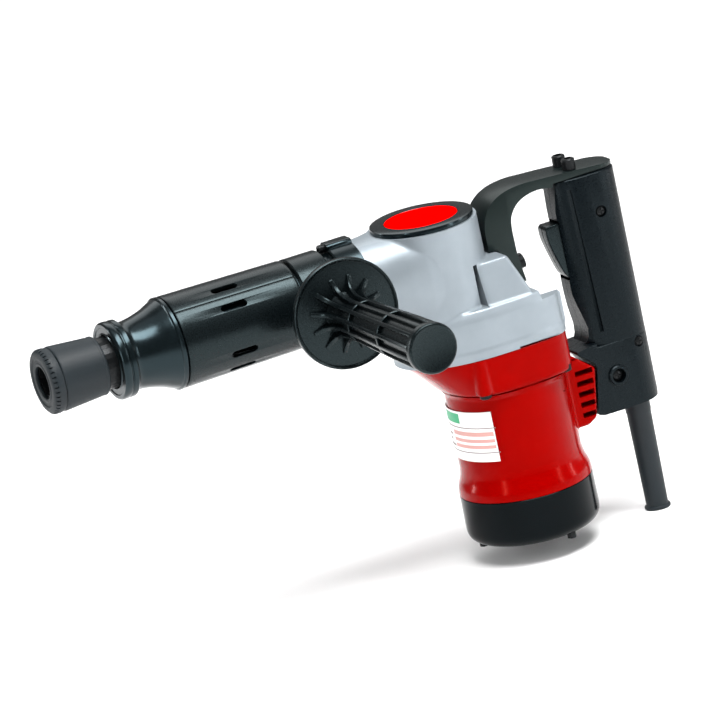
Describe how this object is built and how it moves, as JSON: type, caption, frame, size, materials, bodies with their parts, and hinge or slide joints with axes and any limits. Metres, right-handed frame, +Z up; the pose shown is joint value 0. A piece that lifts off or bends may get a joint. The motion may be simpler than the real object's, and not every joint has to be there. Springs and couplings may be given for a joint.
{
  "type": "demolition hammer",
  "caption": "Electric demolition hammer with a slim barrel, hex bit holder, swivelling side grip, upright motor and a closed rear handle with a trigger.",
  "frame": {"origin": "centre of the flat bottom of the motor end cap", "axes": "-X along the barrel towards the bit, +Z up along the motor axis, -Y towards the side grip"},
  "size_m": [0.401, 0.2319, 0.2399],
  "materials": {
    "matt_rubber": "matt",
    "bright_steel": "ground",
    "gloss_black_paint": "gloss",
    "black_nylon": "fine moulded grain",
    "blackened_steel": "satin black oxide",
    "cast_aluminium": "satin die-cast",
    "red_nylon": "semi-gloss",
    "red_enamel": "gloss",
    "label_film": "satin film",
    "copper": "bright copper windings and segments",
    "brass": "satin",
    "carbon": "matt"
  },
  "bodies": {
    "hammer": {"dust_cap": "matt_rubber", "cord_guard": "matt_rubber", "impact_damper": "matt_rubber", "tool_holder": "bright_steel", "cylinder": "bright_steel", "crank_bearing_upper": "bright_steel", "crank_bearing_lower": "bright_steel", "stator_core": "bright_steel", "motor_bearing_upper": "bright_steel", "motor_bearing_lower": "bright_steel", "sleeve_spring": "bright_steel", "trigger_spring": "bright_steel", "housing_screw_1": "bright_steel", "housing_screw_2": "bright_steel", "housing_screw_3": "bright_steel", "housing_screw_4": "bright_steel", "nose_cone": "gloss_black_paint", "barrel_case": "gloss_black_paint", "handle_arm": "gloss_black_paint", "barrel_cover_left": "black_nylon", "barrel_cover_right": "black_nylon", "motor_end_cap": "black_nylon", "handle_left": "black_nylon", "handle_right": "black_nylon", "crank_cap": "blackened_steel", "handle_bolt_left": "blackened_steel", "handle_bolt_right": "blackened_steel", "arm_bolt": "blackened_steel", "gear_housing": "cast_aluminium", "inner_housing": "cast_aluminium", "motor_housing": "red_nylon", "cap_badge": "red_enamel", "label_plate": "label_film", "brush_holder_left": "brass", "brush_holder_right": "brass", "carbon_brush_left": "carbon", "carbon_brush_right": "carbon", "switch_body": "carbon"},
    "armature": {"armature_shaft": "bright_steel", "armature_core": "copper", "commutator": "copper", "cooling_fan": "black_nylon"},
    "crank": {"crank_shaft": "bright_steel", "crank_gear": "bright_steel"},
    "piston": {"piston": "cast_aluminium", "piston_seal": "matt_rubber", "wrist_pin": "bright_steel"},
    "rod": {"connecting_rod": "bright_steel", "crank_pin": "bright_steel"},
    "striker": {"striker": "bright_steel", "striker_seal": "matt_rubber"},
    "impact_bolt": {"impact_bolt": "bright_steel"},
    "sleeve": {"release_sleeve": "matt_rubber"},
    "roller": {"lock_roller": "bright_steel"},
    "trigger": {"trigger": "black_nylon"},
    "side_handle": {"clamp_band": "blackened_steel", "clamp_block": "blackened_steel", "grip_rod": "bright_steel", "side_grip": "black_nylon"}
  },
  "joints": [
    {"name": "armature_spin", "type": "hinge", "parent": "hammer", "child": "armature", "pos_m": [0, 0, 0.1], "axis": [0, 0, 1], "continuous": true},
    {"name": "crank_turn", "type": "hinge", "parent": "hammer", "child": "crank", "pos_m": [-0.0335, 0, 0.15], "axis": [0, 0, 1], "continuous": true},
    {"name": "piston_slide", "type": "slide", "parent": "hammer", "child": "piston", "axis": [-1, 0, 0], "range_m": [0, 0.026]},
    {"name": "rod_swing", "type": "hinge", "parent": "piston", "child": "rod", "pos_m": [-0.0785, 0, 0.188], "axis": [0, 0, 1], "range_deg": [-13, 13]},
    {"name": "striker_slide", "type": "slide", "parent": "hammer", "child": "striker", "axis": [1, 0, 0], "range_m": [0, 0.014]},
    {"name": "impact_bolt_slide", "type": "slide", "parent": "hammer", "child": "impact_bolt", "axis": [-1, 0, 0], "range_m": [0, 0.0055]},
    {"name": "sleeve_slide", "type": "slide", "parent": "hammer", "child": "sleeve", "axis": [1, 0, 0], "range_m": [0, 0.007], "stiffness_N_per_m": 1200, "springref_m": -0.004, "deforming": ["sleeve_spring"]},
    {"name": "roller_lift", "type": "slide", "parent": "hammer", "child": "roller", "axis": [0, 0, 1], "range_m": [0, 0.0026]},
    {"name": "trigger_squeeze", "type": "hinge", "parent": "hammer", "child": "trigger", "pos_m": [0.0585, 0, 0.154], "axis": [0, 1, 0], "range_deg": [0, 8], "stiffness_Nm_per_rad": 1.5, "springref_deg": -17.19, "deforming": ["trigger_spring"]},
    {"name": "side_handle_turn", "type": "hinge", "parent": "hammer", "child": "side_handle", "pos_m": [-0.1175, 0, 0.188], "axis": [1, 0, 0], "continuous": true}
  ],
  "couplings": [
    {"joint": "crank_turn", "follows": "armature_spin", "ratio": -0.12963},
    {"joint": "roller_lift", "follows": "sleeve_slide", "ratio": 0.34118}
  ]
}
